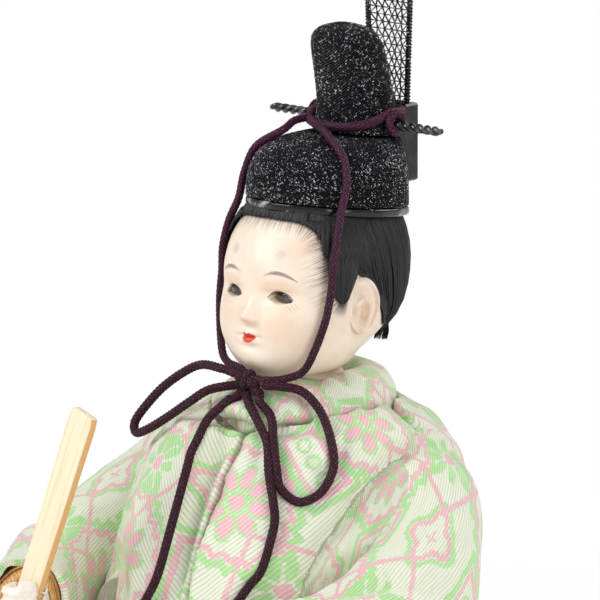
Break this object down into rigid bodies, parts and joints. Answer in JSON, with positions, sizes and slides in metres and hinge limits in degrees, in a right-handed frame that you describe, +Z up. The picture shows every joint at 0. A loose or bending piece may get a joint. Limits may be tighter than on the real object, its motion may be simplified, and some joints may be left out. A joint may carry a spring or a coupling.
{
  "type": "hina doll",
  "caption": "Seated emperor hina doll in a brocade robe, with a gauze crown tied by a chin cord and a flat wooden baton; head and hands turn, crown tail and hair pin pull out.",
  "frame": {"origin": "centre of the neck axis on the plane that the doll rests on, at the underside of the seat board", "axes": "+Z up, the doll faces -Y, +X is the doll's own left hand"},
  "size_m": [0.126, 0.1215, 0.2428],
  "materials": {
    "robe_silk": "woven brocade",
    "gold_weave": "diagonal weave",
    "white_silk": "plain silk",
    "belt_black": "black lacquered",
    "doll_skin": "polished shell-white over plaster",
    "eye_glass": "dark polished glass",
    "hair_silk": "combed silk strands",
    "black_gauze": "stiffened open gauze",
    "black_lacquer": "gloss black",
    "cord_silk": "braided silk",
    "pale_wood": "bare planed wood",
    "straw": "bound straw",
    "iron_wire": "bare wire"
  },
  "bodies": {
    "seated_body": {"seat_board": "pale_wood", "straw_body": "straw", "neck_socket": "pale_wood", "waist_belt": "belt_black", "collar_roll": "robe_silk", "sleeve_left": "robe_silk", "sleeve_right": "robe_silk", "arm_wire_left": "iron_wire", "arm_wire_right": "iron_wire", "robe_front_left": "robe_silk", "robe_front_right": "robe_silk", "robe_back": "robe_silk", "hakama_left": "white_silk", "hakama_right": "white_silk", "robe_skirt": "robe_silk", "inner_sleeve_left": "gold_weave", "inner_sleeve_right": "gold_weave"},
    "head": {"head": "doll_skin", "eye_left": "eye_glass", "eye_right": "eye_glass", "neck_peg": "pale_wood", "hair_bob": "hair_silk", "sideburn_left": "hair_silk", "sideburn_right": "hair_silk", "nape_lock": "hair_silk", "nape_tie": "cord_silk", "crown_cap": "black_gauze", "crown_rim": "black_lacquer", "crown_topknot": "black_gauze", "tail_holder": "black_lacquer", "topknot_cord": "cord_silk", "pin_loop_left": "cord_silk", "pin_loop_right": "cord_silk", "chin_cord_left": "cord_silk", "chin_cord_right": "cord_silk", "cord_knot": "cord_silk", "bow_loop_left": "cord_silk", "bow_loop_right": "cord_silk", "bow_tail_left": "cord_silk", "bow_tail_right": "cord_silk"},
    "hair_pin": {"crown_pin": "black_lacquer"},
    "crown_tail": {"tail_frame": "black_lacquer", "tail_net": "black_gauze"},
    "left_hand": {"hand_left": "doll_skin"},
    "right_hand": {"hand_right": "doll_skin"},
    "baton": {"shaku_baton": "pale_wood"}
  },
  "joints": [
    {"name": "head_turn", "type": "hinge", "parent": "seated_body", "child": "head", "pos_m": [0, 0, 0.1218], "axis": [0, 0, 1], "range_deg": [-10, 10], "deforming": ["bow_loop_left", "bow_loop_right", "bow_tail_left", "bow_tail_right"]},
    {"name": "hair_pin_slide", "type": "slide", "parent": "head", "child": "hair_pin", "axis": [1, 0, 0], "range_m": [0, 0.034]},
    {"name": "crown_tail_slide", "type": "slide", "parent": "head", "child": "crown_tail", "axis": [0, 0, 1], "range_m": [0, 0.017]},
    {"name": "left_wrist_turn", "type": "hinge", "parent": "seated_body", "child": "left_hand", "pos_m": [0.029, -0.061, 0.087], "axis": [-0.4488, -0.8936, 0], "range_deg": [-12, 12]},
    {"name": "right_wrist_turn", "type": "hinge", "parent": "seated_body", "child": "right_hand", "pos_m": [-0.029, -0.061, 0.087], "axis": [0.4488, -0.8936, 0], "range_deg": [-12, 12]},
    {"name": "baton_slide", "type": "slide", "parent": "right_hand", "child": "baton", "axis": [0.2902, 0.1101, 0.9506], "range_m": [0, 0.03]}
  ]
}
